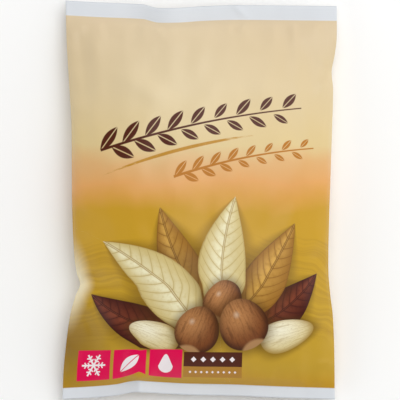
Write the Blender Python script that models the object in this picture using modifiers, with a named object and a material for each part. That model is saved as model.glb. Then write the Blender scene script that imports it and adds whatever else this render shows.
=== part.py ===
"""A sealed pillow bag of printed plastic film, lying on its back, with the frozen mushroom slices that fill it.

The film is one web. It starts at the free edge of the fin under the back, runs left along the table, round the
left side, over the front, round the right side and back to the fin. Both ends are pressed flat into seals.
The slices are king oyster mushrooms cut lengthwise. They lie in flat layers inside.

X runs across the bag, Y towards its top seal, and Z up from the table. The origin is on the table, under the
middle of the bag. Sizes below are in millimetres, and the points are turned into metres where they are made.
"""

import math
import random

import bmesh
import bpy

MM = 0.001

# The bag's outline, seen from above. Each side is (along Y, across X), each seal's edge is (across X, along Y).
HALF_WIDTH = 120.4
HALF_LENGTH = 175.5
LEFT_SIDE = [
    (-HALF_LENGTH, -HALF_WIDTH), (-150, -119.3), (-125, -116.7), (-100, -113.0), (-84, -108.5), (-74, -104.5),
    (-64, -107.3), (-49, -109.5), (-10, -111.3), (35, -111.7), (70, -112.2), (110, -114.7), (140, -116.5),
    (HALF_LENGTH, -117.6),
]
RIGHT_SIDE = [
    (-HALF_LENGTH, 118.7), (-127, 117.9), (-100, 116.5), (-84, 114.5), (-62, 112.7), (-20, 113.2), (26, 114.7),
    (62, 115.9), (97, 116.9), (113, 115.7), (127, 118.3), (142, 120.2), (HALF_LENGTH, HALF_WIDTH),
]
TOP_EDGE = [
    (-HALF_WIDTH, HALF_LENGTH), (-94, 174.0), (-52, 172.2), (-46, 170.6), (-39, 168.9), (-20, 168.9),
    (0, 170.4), (32, 171.4), (HALF_WIDTH, 170.6),
]
BOTTOM_EDGE = [
    (-HALF_WIDTH, -HALF_LENGTH), (-94, -174.0), (-73, -172.0), (-63, -169.8), (-54, -168.8), (-42, -169.6),
    (-10, -171.4), (32, -172.3), (74, -174.0), (HALF_WIDTH, -HALF_LENGTH),
]
TOP_SEAL = 13.0
BOTTOM_SEAL = 10.0

# The bag's heights above the table.
FULL_HEIGHT = 60.0
SIDE_HEIGHT = 24.0
SEAL_HEIGHT = 14.0
FLAT_BACK_SHARE = 0.45  # of the half width lies flat on the table
SEAL_TO_TABLE = 0.24  # of the half length, over which the back comes down from a seal to the table

# The contents press three small flat spots of the back onto the table, and the rest of the back just clears it.
RESTING_SPOTS = [(-47.0, -84.3), (48.2, -84.3), (4.7, 92.0)]
SPOT_RADIUS = 11.5
SPOT_FADE = 14.0
CLEAR_OF_TABLE = 0.7

# The film, drawn thicker than the real laminate, and the gap between two layers that are pressed together.
FILM = 0.4
GAP = 0.3
LAYER = FILM + GAP
FIN_WIDTH = 12.0
FIN_STEP_WIDTH = 6.0  # over which the film steps over or under the fin
FIN_CLEARANCE = 1.5  # beyond the fin's free edge, before the film over it starts to come down

# How finely the web is divided.
FIN_COLUMNS = 2
LEFT_COLUMNS = 9
RIGHT_COLUMNS = 8
FOLD_COLUMNS = 3
SEAL_ROWS = 1
BODY_ROWS = 34

# The slices.
SLICE_THICKNESS = 9.0
LAYER_PITCH = 9.45
LOWEST_SLICE = 4.2
COLUMN_PITCH = 29.6
SLICE_CAP_HALF_WIDTH = 16.4
ROW_GAP = 3.0
LAYERS = [(5, 112), (6, 116), (6, 104), (4, 101), (2, 84)]  # (columns, length of a slice), from the table up
SEED = 7


def smooth_through(points, at):
    """The height at `at` of a smooth curve through points sorted by their first value."""
    if at <= points[0][0]:
        return points[0][1]
    if at >= points[-1][0]:
        return points[-1][1]
    i = max(k for k in range(len(points) - 1) if points[k][0] <= at)
    (x0, y0), (x1, y1) = points[i], points[i + 1]
    before, after = points[max(i - 1, 0)], points[min(i + 2, len(points) - 1)]
    slope0 = (y1 - before[1]) / (x1 - before[0])
    slope1 = (after[1] - y0) / (after[0] - x0)
    width = x1 - x0
    t = (at - x0) / width
    return (
        (2 * t**3 - 3 * t**2 + 1) * y0
        + (t**3 - 2 * t**2 + t) * width * slope0
        + (3 * t**2 - 2 * t**3) * y1
        + (t**3 - t**2) * width * slope1
    )


def ease(t):
    """0 before 0, 1 after 1, and smooth between."""
    t = min(1.0, max(0.0, t))
    return t * t * (3 - 2 * t)


def bump(offset, width):
    """1 where offset is 0, falling to nearly nothing at twice the width."""
    return math.exp(-((offset / width) ** 2))


def seal_depth(along):
    """How far a row lies inside its seal, in millimetres. `along` is past -1 or 1 there."""
    return (abs(along) - 1) * (TOP_SEAL if along > 0 else BOTTOM_SEAL)


def plan(across, along):
    """Where a point of the web lies, seen from above. Both run from -1 to 1, and `along` goes on to 2 over a seal."""
    flat_x = across * HALF_WIDTH
    top_y = smooth_through(TOP_EDGE, flat_x) - TOP_SEAL
    bottom_y = smooth_through(BOTTOM_EDGE, flat_x) + BOTTOM_SEAL
    mean_top = HALF_LENGTH - TOP_SEAL - 4.5
    mean_bottom = -HALF_LENGTH + BOTTOM_SEAL + 3.5
    inner = max(-1.0, min(1.0, along))
    if inner > 0:
        y = inner * mean_top + inner**4 * (top_y - mean_top)
    else:
        y = -inner * mean_bottom + inner**4 * (bottom_y - mean_bottom)
    if abs(along) > 1:
        y += math.copysign(seal_depth(along), along)
    left = smooth_through(LEFT_SIDE, y)
    right = smooth_through(RIGHT_SIDE, y)
    return left + (across + 1) / 2 * (right - left), y


def middle_height(x, along):
    """The height of the side folds, which becomes the height of the seals at the ends."""
    inner = min(1.0, abs(along))
    side = SEAL_HEIGHT + (SIDE_HEIGHT - SEAL_HEIGHT) * (1 - inner**2) ** 0.7
    if along > 0:
        wave = 3.0 * bump(x + 26, 16) - 2.0 * bump(x + 62, 18) - 1.5 * bump(x - 70, 30)
    else:
        wave = 4.0 * bump(x + 54, 15) - 2.0 * bump(x - 10, 26) - 2.0 * bump(x + 100, 20)
    return side + wave * inner**8


def front_height(across, along):
    """The height of the front's own surface."""
    x, y = plan(across, along)
    inner = min(1.0, abs(along))
    rise = (FULL_HEIGHT - SIDE_HEIGHT - FILM / 2) * (1 - inner**3) ** 0.8
    crown = (1 - across**2) ** (0.55 + 0.6 * inner**3)
    pleat = 1 + 0.30 * bump(x + 54, 14) * bump(y + 148, 18) + 0.18 * bump(x + 30, 14) * bump(y - 146, 16)
    return middle_height(x, along) + LAYER / 2 + rise * crown * pleat


def clearance(x, y):
    """How far the back clears the table: not at all on a resting spot."""
    nearest = min(math.hypot(x - spot_x, y - spot_y) for spot_x, spot_y in RESTING_SPOTS)
    return CLEAR_OF_TABLE * ease((nearest - SPOT_RADIUS) / SPOT_FADE)


def back_height(across, along):
    """The height of the back's own surface, before it steps round the fin. It is nearly flat in the middle."""
    x, y = plan(across, along)
    inner = min(1.0, abs(along))
    middle = middle_height(x, along) - LAYER / 2
    coming_down = max(0.0, (inner - (1 - SEAL_TO_TABLE)) / SEAL_TO_TABLE)
    low = FILM / 2 + clearance(x, y)
    centre = low + (middle - low) * coming_down**2
    turn = max(0.0, (abs(across) - FLAT_BACK_SHARE) / (1 - FLAT_BACK_SHARE))
    return middle - (middle - centre) * (1 - turn**2) ** 0.6


def on_table(along):
    """1 where the back lies on the table, so that the fin's lower layer does too, and 0 at the seals."""
    return 1 - ease((min(1.0, abs(along)) - 1 + SEAL_TO_TABLE) / (0.6 * SEAL_TO_TABLE))


def fin_base_height(across, along):
    """The height of the fin's lower layer, which lies on the table, or two layers under the back at a seal."""
    return back_height(across, along) - 2 * LAYER * (1 - on_table(along))


def back_point(across, along):
    """A point of the back, stepping over the fin right of it, or under the front's layer left of it at a seal."""
    x, y = plan(across, along)
    root = plan(0.0, along)[0]
    if across <= 0:
        near = 1 - ease((root - x) / FIN_STEP_WIDTH)
        return x, y, back_height(across, along) - 2 * LAYER * (1 - on_table(along)) * near
    near = 1 - ease((x - root - FIN_WIDTH - FIN_CLEARANCE) / FIN_STEP_WIDTH)
    return x, y, back_height(across, along) + 2 * LAYER * on_table(along) * near


def fin_point(layer, share, along):
    """A point of the fin: layer 0 is the lower and 1 the upper, and share runs from its root to its free edge."""
    across = share * FIN_WIDTH / HALF_WIDTH
    x, y = plan(across, along)
    return x, y, fin_base_height(across, along) + layer * LAYER


def fold_points(start, end, outward):
    """The points between two layers' edges, one LAYER apart, on a half circle that bulges outward along X."""
    middle = [(a + b) / 2 for a, b in zip(start, end)]
    half = [(a - b) / 2 for a, b in zip(start, end)]
    made = []
    for i in range(1, FOLD_COLUMNS):
        angle = math.pi * i / FOLD_COLUMNS
        turned = [m + h * math.cos(angle) for m, h in zip(middle, half)]
        turned[0] += outward * LAYER / 2 * math.sin(angle)
        made.append(tuple(turned))
    return made


def half_columns(near_fin, beyond):
    """Where the web's columns lie on one side, as shares of the half width: at the fin, near it, and beyond."""
    shares = [place / HALF_WIDTH for place in near_fin]
    last = shares[-1]
    return shares + [last + (1 - last) * math.sin(math.pi / 2 * (i + 1) / beyond) for i in range(beyond)]


def web_row(along):
    """The points of the web across one row, from the fin's lower edge round the bag to its upper edge.

    The front and the back have their columns at the same places, so that a seal's two layers follow each other.
    """
    fin_shares = [i / FIN_COLUMNS for i in range(FIN_COLUMNS + 1)]
    over_fin = [share * FIN_WIDTH for share in fin_shares] + [
        FIN_WIDTH + 2 * FIN_CLEARANCE, FIN_WIDTH + FIN_CLEARANCE + FIN_STEP_WIDTH,
    ]
    left = [-share for share in half_columns([0.0, FIN_STEP_WIDTH], LEFT_COLUMNS)]
    right = half_columns(over_fin, RIGHT_COLUMNS)
    front = [
        (*plan(across, along), front_height(across, along)) for across in left[:0:-1] + right
    ]
    back_left = [back_point(across, along) for across in left]
    back_right = [back_point(across, along) for across in reversed(right)]
    x, y, z = back_left[0]
    back_right[-1] = (x, y, z + 2 * LAYER)
    lower_fin = [fin_point(0, share, along) for share in fin_shares[:0:-1]]
    upper_fin = [fin_point(1, share, along) for share in fin_shares]
    return (
        lower_fin + back_left + fold_points(back_left[-1], front[0], -1) + front
        + fold_points(front[-1], back_right[0], 1) + back_right
        + fold_points(back_right[-1], upper_fin[0], -1) + upper_fin
    )


def row_places():
    """Where the web's rows lie along the bag, closer together towards the seals."""
    body = []
    for i in range(BODY_ROWS + 1):
        even = 2 * i / BODY_ROWS - 1
        body.append(0.6 * even + 0.4 * math.sin(math.pi / 2 * even))
    seal = [1 + (i + 1) / SEAL_ROWS for i in range(SEAL_ROWS)]
    return [-place for place in reversed(seal)] + body + seal


def material(name, colour, roughness):
    made = bpy.data.materials.new(name)
    made.use_nodes = True
    shader = made.node_tree.nodes["Principled BSDF"]
    shader.inputs["Base Color"].default_value = (*colour, 1.0)
    shader.inputs["Roughness"].default_value = roughness
    shader.inputs["Metallic"].default_value = 0.0
    return made


def make_film(collection):
    """The whole web as one sheet, thickened about its middle."""
    places = row_places()
    rows = [web_row(place) for place in places]
    columns = len(rows[0])
    sheet = bmesh.new()
    bmesh.ops.create_grid(sheet, x_segments=columns - 1, y_segments=len(rows) - 1, size=1.0)
    for vertex in sheet.verts:
        column = round((vertex.co.x + 1) / 2 * (columns - 1))
        row = round((vertex.co.y + 1) / 2 * (len(rows) - 1))
        vertex.co = [value * MM for value in rows[row][column]]
    for face in sheet.faces:
        y = face.calc_center_median().y / MM
        face.smooth = True
        face.material_index = film_zone(y)
    bmesh.ops.recalc_face_normals(sheet, faces=sheet.faces)
    mesh = bpy.data.meshes.new("film_bag")
    sheet.to_mesh(mesh)
    sheet.free()
    for slot in (
        material("unprinted_seal", (0.68, 0.71, 0.75), 0.35),
        material("champagne_print", (0.72, 0.59, 0.38), 0.4),
        material("ochre_print", (0.56, 0.35, 0.06), 0.4),
    ):
        mesh.materials.append(slot)
    film = bpy.data.objects.new("film_bag", mesh)
    collection.objects.link(film)
    thicken = film.modifiers.new("film_thickness", "SOLIDIFY")
    thicken.thickness = FILM * MM
    thicken.offset = 0.0
    thicken.use_even_offset = True
    return film


def film_zone(y):
    """0 for the unprinted seals, 1 for the pale upper half and 2 for the darker lower half."""
    if y > HALF_LENGTH - 5 - TOP_SEAL or y < -HALF_LENGTH + 2 + BOTTOM_SEAL:
        return 0
    return 1 if y > 20 else 2


def slice_outline(length, cap_half_width, bend):
    """Half way round a mushroom cut lengthwise, mirrored, with its stem bent sideways."""
    stem = 0.70 * cap_half_width
    side = [  # (half width, share of the length from the stem's foot)
        (0.45 * stem, 0.0), (0.86 * stem, 0.05), (1.0 * stem, 0.17), (0.97 * stem, 0.38), (0.80 * stem, 0.58),
        (0.78 * stem, 0.70), (0.72 * cap_half_width, 0.79), (cap_half_width, 0.845), (0.98 * cap_half_width, 0.885),
        (0.78 * cap_half_width, 0.95), (0.42 * cap_half_width, 0.99),
    ]
    round_trip = [(x, y) for x, y in side] + [(-x, y) for x, y in reversed(side)]
    return [(x + bend * math.sin(math.pi * y), (y - 0.5) * length) for x, y in round_trip]


def make_slice(collection, name, finish, place, turn, length, cap_half_width, bend):
    """One flat slice: a filled outline with its thickness."""
    outline = slice_outline(length, cap_half_width, bend)
    curve = bpy.data.curves.new(name, "CURVE")
    curve.dimensions = "2D"
    curve.fill_mode = "BOTH"
    curve.extrude = SLICE_THICKNESS / 2 * MM
    spline = curve.splines.new("POLY")
    spline.points.add(len(outline) - 1)
    for point, (x, y) in zip(spline.points, outline):
        point.co = (x * MM, y * MM, 0.0, 1.0)
    spline.use_cyclic_u = True
    curve.materials.append(finish)
    made = bpy.data.objects.new(name, curve)
    made.location = [value * MM for value in place]
    made.rotation_euler = (0.0, 0.0, turn)
    collection.objects.link(made)
    return made


def make_slices(collection):
    """Layer on layer of slices, two rows in each, head to tail across the bag."""
    draw = random.Random(SEED)
    finish = material("frozen_mushroom", (0.80, 0.72, 0.54), 0.6)
    number = 0
    for level, (columns, length) in enumerate(LAYERS):
        z = LOWEST_SLICE + SLICE_THICKNESS / 2 + level * LAYER_PITCH
        for row in (-1, 1):
            for column in range(columns):
                number += 1
                cut = length * draw.uniform(0.93, 1.0)
                x = (column - (columns - 1) / 2) * COLUMN_PITCH + draw.uniform(-0.5, 0.5)
                y = row * (ROW_GAP / 2 + length - cut / 2)
                heading = math.pi * ((column + level + (row > 0)) % 2)
                make_slice(
                    collection, f"slice_{number:02d}", finish, (x, y, z),
                    heading + math.radians(draw.uniform(-0.6, 0.6)), cut,
                    SLICE_CAP_HALF_WIDTH * draw.uniform(0.92, 1.0), draw.uniform(-1.0, 1.0),
                )


def main():
    for found in list(bpy.data.objects):
        bpy.data.objects.remove(found, do_unlink=True)
    bag = bpy.data.collections.new("bag_of_frozen_mushrooms")
    bpy.context.scene.collection.children.link(bag)
    make_film(bag)
    make_slices(bag)


main()
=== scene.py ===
"""A full pillow bag of frozen mushroom slices, seen from above as it lies on a white table.

The film is one web, laid out on its flat coordinates. Across the bag they run from the fin's lower edge,
round the back, the left side, the front, the right side and back to the fin. Along it they run from the
bottom seal to the top seal. The print is drawn on those coordinates, so it follows the film. Sizes are in
millimetres unless a comment says otherwise.
"""

import math

import bmesh
import bpy
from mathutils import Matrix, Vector, noise


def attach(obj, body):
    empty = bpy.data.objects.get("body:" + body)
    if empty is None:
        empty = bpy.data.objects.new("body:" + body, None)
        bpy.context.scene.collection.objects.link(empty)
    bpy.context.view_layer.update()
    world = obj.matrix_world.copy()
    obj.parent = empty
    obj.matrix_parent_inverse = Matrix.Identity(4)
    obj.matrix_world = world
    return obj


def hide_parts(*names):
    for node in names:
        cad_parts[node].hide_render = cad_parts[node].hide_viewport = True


MM = 0.001

# The bag's outline from above, as in the solid model.
# Each side is (along Y, across X), and each end is (across X, along Y).
HALF_WIDTH = 120.4
HALF_LENGTH = 175.5
LEFT_SIDE = [
    (-HALF_LENGTH, -HALF_WIDTH), (-150, -119.3), (-125, -116.7), (-100, -113.0), (-84, -108.5),
    (-74, -104.5), (-64, -107.3), (-49, -109.5), (-10, -111.3), (35, -111.7), (70, -112.2),
    (110, -114.7), (140, -116.5), (HALF_LENGTH, -117.6),
]
RIGHT_SIDE = [
    (-HALF_LENGTH, 118.7), (-127, 117.9), (-100, 116.5), (-84, 114.5), (-62, 112.7), (-20, 113.2),
    (26, 114.7), (62, 115.9), (97, 116.9), (113, 115.7), (127, 118.3), (142, 120.2),
    (HALF_LENGTH, HALF_WIDTH),
]
TOP_EDGE = [
    (-HALF_WIDTH, HALF_LENGTH), (-94, 174.0), (-52, 172.2), (-46, 170.6), (-39, 168.9), (-20, 168.9),
    (0, 170.4), (32, 171.4), (HALF_WIDTH, 170.6),
]
BOTTOM_EDGE = [
    (-HALF_WIDTH, -HALF_LENGTH), (-94, -174.0), (-73, -172.0), (-63, -169.8), (-54, -168.8), (-42, -169.6),
    (-10, -171.4), (32, -172.3), (74, -174.0), (HALF_WIDTH, -HALF_LENGTH),
]
TOP_SEAL = 13.0
BOTTOM_SEAL = 10.0
MEAN_TOP = HALF_LENGTH - TOP_SEAL - 4.5
MEAN_BOTTOM = -HALF_LENGTH + BOTTOM_SEAL + 3.5

# The bag's heights above the table.
FULL_HEIGHT = 60.0
SIDE_HEIGHT = 24.0
SEAL_HEIGHT = 14.0
SIDE_ROUNDNESS = 0.7  # the powers that round its sides, its ends, its front and its back
RISE_ROUNDNESS = 0.8
CROWN_ROUNDNESS = 0.55
CROWN_SHARPER = 0.6  # how much is added to the crown's power at the ends
BACK_ROUNDNESS = 0.6
BACK_UNEVENNESS = 0.6  # as a share of the front's
FLAT_BACK_SHARE = 0.45
SEAL_TO_TABLE = 0.24
RESTING_SPOTS = [(-47.0, -84.3), (48.2, -84.3), (4.7, 92.0)]
SPOT_RADIUS = 11.5
SPOT_FADE = 14.0
CLEAR_OF_TABLE = 0.7

# The film, a little thicker than the real 0.09 mm laminate, and how far apart two sealed layers lie.
FILM = 0.2
LAYER = 0.42
RIB_PITCH = 1.6  # the jaws' serration that is pressed into the end seals
FIN_WIDTH = 12.0
FIN_STEP_WIDTH = 6.0
FIN_CLEARANCE = 1.5

# How finely the web is divided.
FIN_COLUMNS = 5
LEFT_COLUMNS = 52
RIGHT_COLUMNS = 48
FOLD_COLUMNS = 3
SEAL_ROWS = 8
BODY_ROWS = 160

# Creases that the film has kept: start and end from above, half width, and height. A groove is below 0.
CREASES = [
    ((-107, -71), (-84, -66), 3.0, -2.2), ((-107, -75), (-88, -83), 2.6, 1.5),
    ((-106, -77), (-98, -108), 5.0, 1.8), ((-107, -66), (-98, -44), 4.5, 1.2),
    ((-103, -96), (-92, -118), 3.5, -1.0), ((117, 117), (102, 124), 2.2, 1.1),
    ((117, 112), (100, 106), 2.4, -1.0), ((116, 106), (104, 92), 3.0, 0.8),
    ((112, -46), (97, -52), 2.4, -0.9), ((112, -56), (99, -64), 2.2, 0.8),
    ((112, -38), (100, -34), 2.4, 0.7), ((-42, 158), (-30, 138), 3.2, 1.3),
    ((-52, 158), (-58, 140), 3.6, -1.0), ((36, 158), (24, 139), 2.8, -1.1),
    ((29, 158), (44, 143), 3.0, 0.9), ((-61, -163), (-62, -136), 5.0, 1.8),
    ((-42, -163), (-40, -140), 4.0, 1.6), ((-66, -160), (-72, -142), 3.0, -0.8),
    ((60, -163), (66, -143), 3.4, 0.8), ((-88, 158), (-84, 136), 4.0, 0.8),
    ((-103, 140), (-98, 84), 7.5, -1.7), ((-99, 100), (-98, 10), 6.0, -0.9),
    ((-93, 138), (-86, 96), 7.0, 1.2), ((-68, 109), (-22, 82), 9.0, 1.7), ((97, 130), (93, 88), 8.0, -2.2),
]
SHARP_CREASES = [
    ((-108, -73), (-84, -62), 4.0, -2.6), ((-108, -79), (-93, -97), 4.5, 2.0),
    ((118, 106), (101, 99), 3.0, 1.7), ((117, 122), (106, 108), 3.0, -1.4),
    ((116, -50), (102, -56), 3.0, -0.9), ((-30, 160), (-22, 143), 3.5, 1.2),
]
SEAL_CREASE = ((31, 171), (45, 157), 2.1, 0.85)  # the diagonal fold that was pressed into the top seal

# The fold over the bottom seal.
FOLD_X = -53.0
FOLD_LEFT = 7.0  # the widths of its two facets
FOLD_RIGHT = 12.0
FOLD_RISE = 3.4  # of the film above the seal
FOLD_MIDDLE = -157.0
FOLD_FADE = 6.0  # how far it reaches up and down from there
FOLD_SEAL_RISE = 3.2  # of the seal itself
PRINT_PULL = 4.4  # how far it gathers the print
PULL_WIDTH = 8.0
PULLED_ROWS = (-153.0, 5.5)  # where it pulls the print up, and where it pushes it down by half as much
PUSHED_ROWS = (-130.0, 8.0)

# How the end seals wave: height, place across X, and half width.
TOP_WAVES = [(3.0, -26, 16), (-2.0, -62, 18), (-1.5, 70, 30)]
BOTTOM_WAVES = [(3.0, -54, 15), (-2.0, 10, 26), (-2.0, -100, 20)]

# Where the front swells next to a seal: share of its height, place, and half widths.
PLEATS = [(0.30, (-54, -148), (14, 18)), (0.18, (-30, 146), (14, 16))]

# The film's unevenness: height, and size across X and along Y.
LARGE_HUMPS = (2.3, 40.0, 52.0)
SMALL_HUMPS = (1.1, 17.0, 23.0)
END_GATHERS = (1.5, 15.0, 90.0)
SIDE_GATHERS = (1.1, 70.0, 17.0)
SEAL_RIPPLES = (0.35, 14.0, 60.0)
SEAL_SWAY = 0.9
SEAL_SWAY_SIZE = 46.0
FRONT_SEED = 2.3
BACK_SEED = 31.7
SEAL_SEED = 4.2
SWAY_SEEDS = (1.7, 9.0)  # the second is below 0 for the bottom seal


def smooth_through(points, at):
    """The height at `at` of a smooth curve through points sorted by their first value."""
    if at <= points[0][0]:
        return points[0][1]
    if at >= points[-1][0]:
        return points[-1][1]
    i = max(k for k in range(len(points) - 1) if points[k][0] <= at)
    (x0, y0), (x1, y1) = points[i], points[i + 1]
    before, after = points[max(i - 1, 0)], points[min(i + 2, len(points) - 1)]
    slope0 = (y1 - before[1]) / (x1 - before[0])
    slope1 = (after[1] - y0) / (after[0] - x0)
    width = x1 - x0
    t = (at - x0) / width
    return (
        (2 * t**3 - 3 * t**2 + 1) * y0
        + (t**3 - 2 * t**2 + t) * width * slope0
        + (3 * t**2 - 2 * t**3) * y1
        + (t**3 - t**2) * width * slope1
    )


def ease(t):
    """0 before 0, 1 after 1, and smooth between."""
    t = min(1.0, max(0.0, t))
    return t * t * (3 - 2 * t)


def bump(offset, width):
    """1 where offset is 0, falling to nearly nothing at twice the width."""
    return math.exp(-((offset / width) ** 2))


def flat_length(along):
    """Where a row of the flat web lies, counted from the bag's middle."""
    end = MEAN_TOP if along > 0 else -MEAN_BOTTOM
    seal = TOP_SEAL if along > 0 else BOTTOM_SEAL
    inner = max(-1.0, min(1.0, along))
    return inner * end + math.copysign(max(0.0, abs(along) - 1) * seal, along)


def plan(across, along):
    """Where a point of the web lies, from above. Both run from -1 to 1, and `along` on to 2 over a seal."""
    flat_x = across * HALF_WIDTH
    inner = max(-1.0, min(1.0, along))
    if along > 0:
        bend = smooth_through(TOP_EDGE, flat_x) - TOP_SEAL - MEAN_TOP
    else:
        bend = smooth_through(BOTTOM_EDGE, flat_x) + BOTTOM_SEAL - MEAN_BOTTOM
    y = flat_length(along) + inner**4 * bend
    left = smooth_through(LEFT_SIDE, y)
    right = smooth_through(RIGHT_SIDE, y)
    return left + (across + 1) / 2 * (right - left), y


def ridge(offset, width):
    """1 where offset is 0, with a sharp top, falling to nearly nothing at three times the width."""
    return math.exp(-abs(offset) / width)


def facets(offset):
    """1 where offset is 0, falling evenly to 0 over the fold's left facet and over its right one."""
    return max(0.0, 1 + offset / FOLD_LEFT if offset < 0 else 1 - offset / FOLD_RIGHT)


def crease(x, y, line, profile=bump):
    """How far one kept crease lifts the film here: most before its middle, and less towards its ends."""
    (x0, y0), (x1, y1), half_width, height = line
    length = math.hypot(x1 - x0, y1 - y0)
    along_x, along_y = (x1 - x0) / length, (y1 - y0) / length
    forward = ((x - x0) * along_x + (y - y0) * along_y) / length
    sideways = (y - y0) * along_x - (x - x0) * along_y
    if not -0.3 < forward < 1.2 or abs(sideways) > 3 * half_width:
        return 0.0
    taper = ease((forward + 0.3) / 0.45) * (1 - ease((forward - 0.4) / 0.8))
    return height * taper * profile(sideways, half_width)


def print_pull(u, v):
    """How far the fold over the bottom seal gathers the print at a place of the flat web."""
    (pulled, pulled_half), (pushed, pushed_half) = PULLED_ROWS, PUSHED_ROWS
    gathered = bump(v - pulled, pulled_half) - 0.5 * bump(v - pushed, pushed_half)
    return PRINT_PULL * ridge(u - FOLD_X, PULL_WIDTH) * gathered


def middle_height(x, along):
    """The height of the side folds, which becomes the height of the seals at the ends."""
    inner = min(1.0, abs(along))
    side = SEAL_HEIGHT + (SIDE_HEIGHT - SEAL_HEIGHT) * (1 - inner**2) ** SIDE_ROUNDNESS
    waves = TOP_WAVES if along > 0 else BOTTOM_WAVES
    wave = sum(height * bump(x - place, half_width) for height, place, half_width in waves)
    if along <= 0:
        wave += FOLD_SEAL_RISE * facets(x - FOLD_X) * inner**24
    return side + wave * inner**8


def humps(x, y, seed, pattern):
    """Smooth humps and hollows of a pattern's height and sizes."""
    height, size_x, size_y = pattern
    return height * noise.noise((x / size_x, y / size_y, seed))


def gathers(x, y, seed, pattern):
    """Gathers with sharp backs, of a pattern's height and sizes."""
    height, size_x, size_y = pattern
    return height * (1 - 2 * abs(noise.noise((x / size_x, y / size_y, seed))))


def seal_relief(x, y, along):
    """How the seals wave and crease, both of their layers together."""
    if abs(along) < 0.9:
        return 0.0
    inside = ease((abs(along) - 0.9) / 0.15)
    seed, end_seed = SWAY_SEEDS
    sway = SEAL_SWAY * noise.noise((x / SEAL_SWAY_SIZE, seed, math.copysign(end_seed, along)))
    return inside * (humps(x, y, SEAL_SEED, SEAL_RIPPLES) + sway + crease(x, y, SEAL_CREASE))


def film_relief(x, y, across, along, seed):
    """How far the contents and the film's own stiffness push it out from its even shape."""
    inner = min(1.0, abs(along))
    to_seal = (1 - inner) * (MEAN_TOP if along > 0 else -MEAN_BOTTOM)
    to_side = (1 - abs(across)) * HALF_WIDTH
    loose = ease(to_seal / 26) * ease(to_side / 30)
    contents = humps(x, y, seed, LARGE_HUMPS) + humps(x, y, seed + 5, SMALL_HUMPS)
    near_end = ease(to_seal / 7) * bump(to_seal, 26) * ease(to_side / 16)
    near_side = ease(to_side / 5) * bump(to_side, 17) * ease(to_seal / 16)
    at_end = gathers(x, y, seed + 11, END_GATHERS) * near_end
    at_side = gathers(x, y, seed + 17, SIDE_GATHERS) * near_side
    return contents * loose + at_end + at_side


def front_height(across, along):
    """The height of the front, with its creases."""
    x, y = plan(across, along)
    inner = min(1.0, abs(along))
    rise = (FULL_HEIGHT - SIDE_HEIGHT - FILM / 2) * (1 - inner**3) ** RISE_ROUNDNESS
    crown = (1 - across**2) ** (CROWN_ROUNDNESS + CROWN_SHARPER * inner**3)
    pleat = 1.0
    for share, (place_x, place_y), (half_x, half_y) in PLEATS:
        pleat += share * bump(x - place_x, half_x) * bump(y - place_y, half_y)
    even = middle_height(x, along) + LAYER / 2 + rise * crown * pleat
    kept = sum(crease(x, y, line) for line in CREASES) * ease(20 * (1 - inner))
    kept += sum(crease(x, y, line, ridge) for line in SHARP_CREASES) * ease(30 * (1 - inner))
    kept += FOLD_RISE * facets(x - FOLD_X) * bump(y - FOLD_MIDDLE, FOLD_FADE) * ease(40 * (1 - inner))
    kept *= ease(9 * (1 - abs(across)))
    relief = film_relief(x, y, across, along, FRONT_SEED) if abs(along) < 1 else 0.0
    return even + kept + relief + seal_relief(x, y, along)


def clearance(x, y):
    """How far the back clears the table: not at all on a resting spot."""
    nearest = min(math.hypot(x - spot_x, y - spot_y) for spot_x, spot_y in RESTING_SPOTS)
    return CLEAR_OF_TABLE * ease((nearest - SPOT_RADIUS) / SPOT_FADE)


def back_height(across, along):
    """The height of the back, before it steps round the fin. It is nearly flat in the middle."""
    x, y = plan(across, along)
    inner = min(1.0, abs(along))
    middle = middle_height(x, along) - LAYER / 2
    coming_down = max(0.0, (inner - (1 - SEAL_TO_TABLE)) / SEAL_TO_TABLE)
    low = FILM / 2 + clearance(x, y)
    centre = low + (middle - low) * coming_down**2
    turn = max(0.0, (abs(across) - FLAT_BACK_SHARE) / (1 - FLAT_BACK_SHARE))
    even = middle - (middle - centre) * (1 - turn**2) ** BACK_ROUNDNESS
    lifted = ease((even - FILM / 2) / 6)
    relief = film_relief(x, y, across, along, BACK_SEED) if abs(along) < 1 else 0.0
    return max(FILM / 2, even - BACK_UNEVENNESS * lifted * relief) + seal_relief(x, y, along)


def on_table(along):
    """1 where the back lies on the table, so that the fin's lower layer does too, and 0 at the seals."""
    return 1 - ease((min(1.0, abs(along)) - 1 + SEAL_TO_TABLE) / (0.6 * SEAL_TO_TABLE))


def fin_base_height(across, along):
    """The height of the fin's lower layer: on the table, or two layers under the back at a seal."""
    return back_height(across, along) - 2 * LAYER * (1 - on_table(along))


def back_point(across, along):
    """A point of the back, which steps over the fin on its right, or off the fin's layer at a seal."""
    x, y = plan(across, along)
    root = plan(0.0, along)[0]
    height = back_height(across, along)
    if across <= 0:
        near = 1 - ease((root - x) / FIN_STEP_WIDTH)
        return x, y, height - 2 * LAYER * (1 - on_table(along)) * near
    near = 1 - ease((x - root - FIN_WIDTH - FIN_CLEARANCE) / FIN_STEP_WIDTH)
    return x, y, height + 2 * LAYER * on_table(along) * near


def fin_point(layer, share, along):
    """A point of the fin's lower (0) or upper (1) layer. `share` runs from its root to its free edge."""
    across = share * FIN_WIDTH / HALF_WIDTH
    x, y = plan(across, along)
    return x, y, fin_base_height(across, along) + layer * LAYER


def fold_points(start, end, outward):
    """The points between two layers' edges, on a half circle that bulges out along X."""
    middle = [(a + b) / 2 for a, b in zip(start, end)]
    half = [(a - b) / 2 for a, b in zip(start, end)]
    made = []
    for i in range(1, FOLD_COLUMNS):
        angle = math.pi * i / FOLD_COLUMNS
        turned = [m + h * math.cos(angle) for m, h in zip(middle, half)]
        turned[0] += outward * LAYER / 2 * math.sin(angle)
        made.append(tuple(turned))
    return made


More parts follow.
